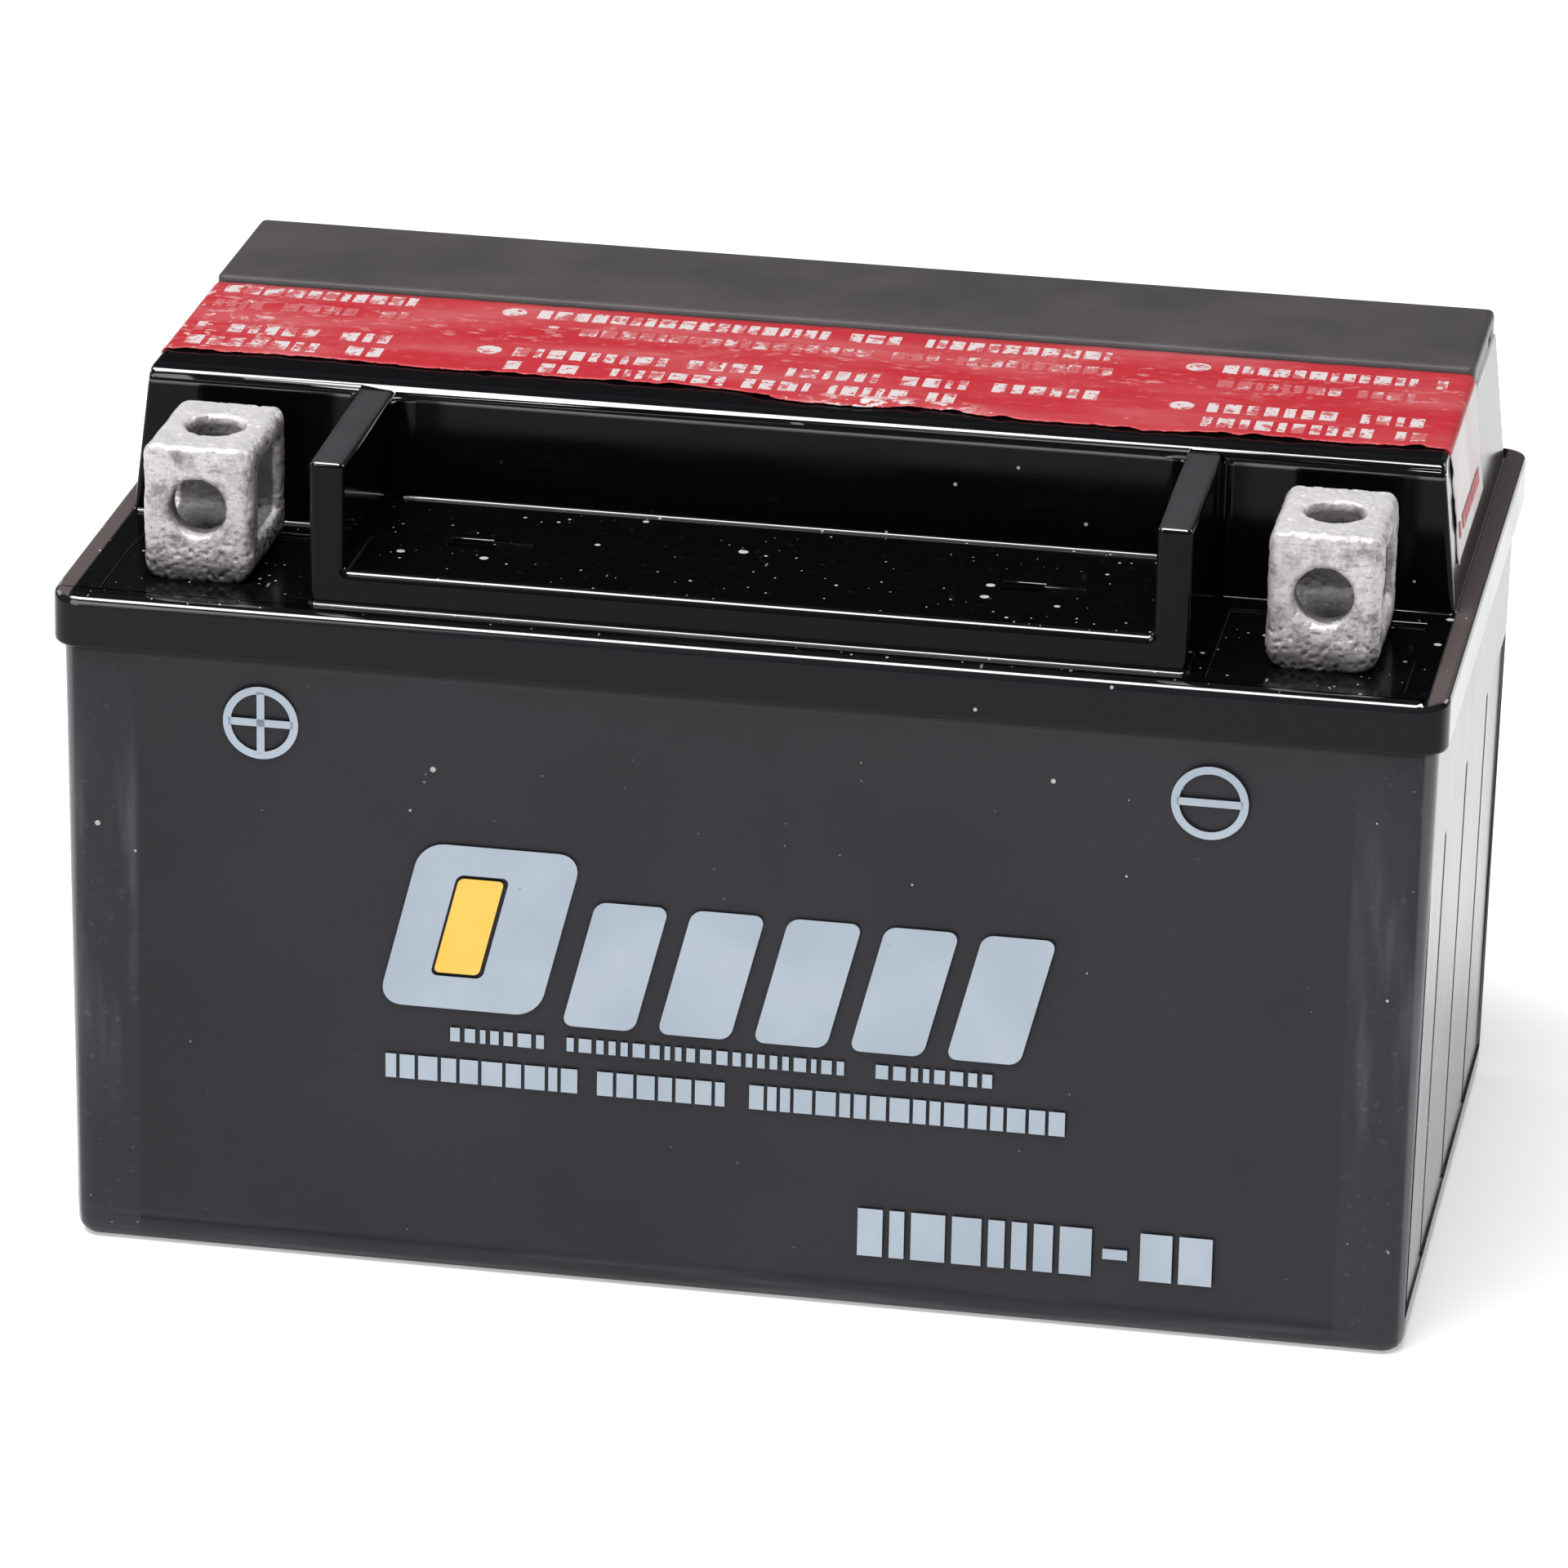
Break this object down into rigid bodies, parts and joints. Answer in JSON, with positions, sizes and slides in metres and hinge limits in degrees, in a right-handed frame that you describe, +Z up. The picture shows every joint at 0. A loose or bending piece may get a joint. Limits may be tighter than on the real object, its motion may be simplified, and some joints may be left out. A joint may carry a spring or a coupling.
{
  "type": "motorcycle battery",
  "caption": "Sealed box-shaped motorcycle battery with two cast lead terminals, a raised lid block and a lift-off filler plug strip.",
  "frame": {"origin": "centre of the base, on the surface that the battery stands on", "axes": "+X along the length from the positive to the negative terminal, +Y from the terminal side to the back, +Z up"},
  "size_m": [0.151, 0.087, 0.094],
  "materials": {
    "case": "satin moulded polypropylene",
    "lid": "glossy moulded polypropylene",
    "strip": "fine matt texture",
    "label": "printed vinyl sheet",
    "lead": "as-cast lead alloy, dull grey",
    "resin": "cast epoxy",
    "rubber": "soft moulded rubber",
    "filter": "porous sintered disc",
    "positive_paste": "dark brown lead dioxide paste on a lead grid",
    "negative_paste": "grey sponge lead paste on a lead grid",
    "glass_mat": "white glass-fibre mat"
  },
  "bodies": {
    "case": {"container": "case", "lid": "lid", "top_label": "label", "positive_terminal": "lead", "negative_terminal": "lead", "positive_post": "lead", "negative_post": "lead", "positive_post_resin": "resin", "negative_post_resin": "resin", "relief_valve_1": "rubber", "relief_valve_2": "rubber", "relief_valve_3": "rubber", "relief_valve_4": "rubber", "relief_valve_5": "rubber", "relief_valve_6": "rubber", "cell_1_positive_plates": "positive_paste", "cell_2_positive_plates": "positive_paste", "cell_3_positive_plates": "positive_paste", "cell_4_positive_plates": "positive_paste", "cell_5_positive_plates": "positive_paste", "cell_6_positive_plates": "positive_paste", "cell_1_negative_plates": "negative_paste", "cell_2_negative_plates": "negative_paste", "cell_3_negative_plates": "negative_paste", "cell_4_negative_plates": "negative_paste", "cell_5_negative_plates": "negative_paste", "cell_6_negative_plates": "negative_paste", "cell_1_glass_mats": "glass_mat", "cell_2_glass_mats": "glass_mat", "cell_3_glass_mats": "glass_mat", "cell_4_glass_mats": "glass_mat", "cell_5_glass_mats": "glass_mat", "cell_6_glass_mats": "glass_mat", "cell_1_positive_strap": "lead", "cell_2_positive_strap": "lead", "cell_3_positive_strap": "lead", "cell_4_positive_strap": "lead", "cell_5_positive_strap": "lead", "cell_6_positive_strap": "lead", "cell_1_negative_strap": "lead", "cell_2_negative_strap": "lead", "cell_3_negative_strap": "lead", "cell_4_negative_strap": "lead", "cell_5_negative_strap": "lead", "cell_6_negative_strap": "lead", "cell_weld_1": "lead", "cell_weld_2": "lead", "cell_weld_3": "lead", "cell_weld_4": "lead", "cell_weld_5": "lead"},
    "plug_strip": {"plug_strip": "strip", "vent_filter": "filter", "plug_seal_1": "rubber", "plug_seal_2": "rubber", "plug_seal_3": "rubber", "plug_seal_4": "rubber", "plug_seal_5": "rubber", "plug_seal_6": "rubber"}
  },
  "joints": [
    {"name": "plug_strip_lift", "type": "slide", "parent": "case", "child": "plug_strip", "axis": [0, 0, 1], "range_m": [0, 0.02]}
  ]
}
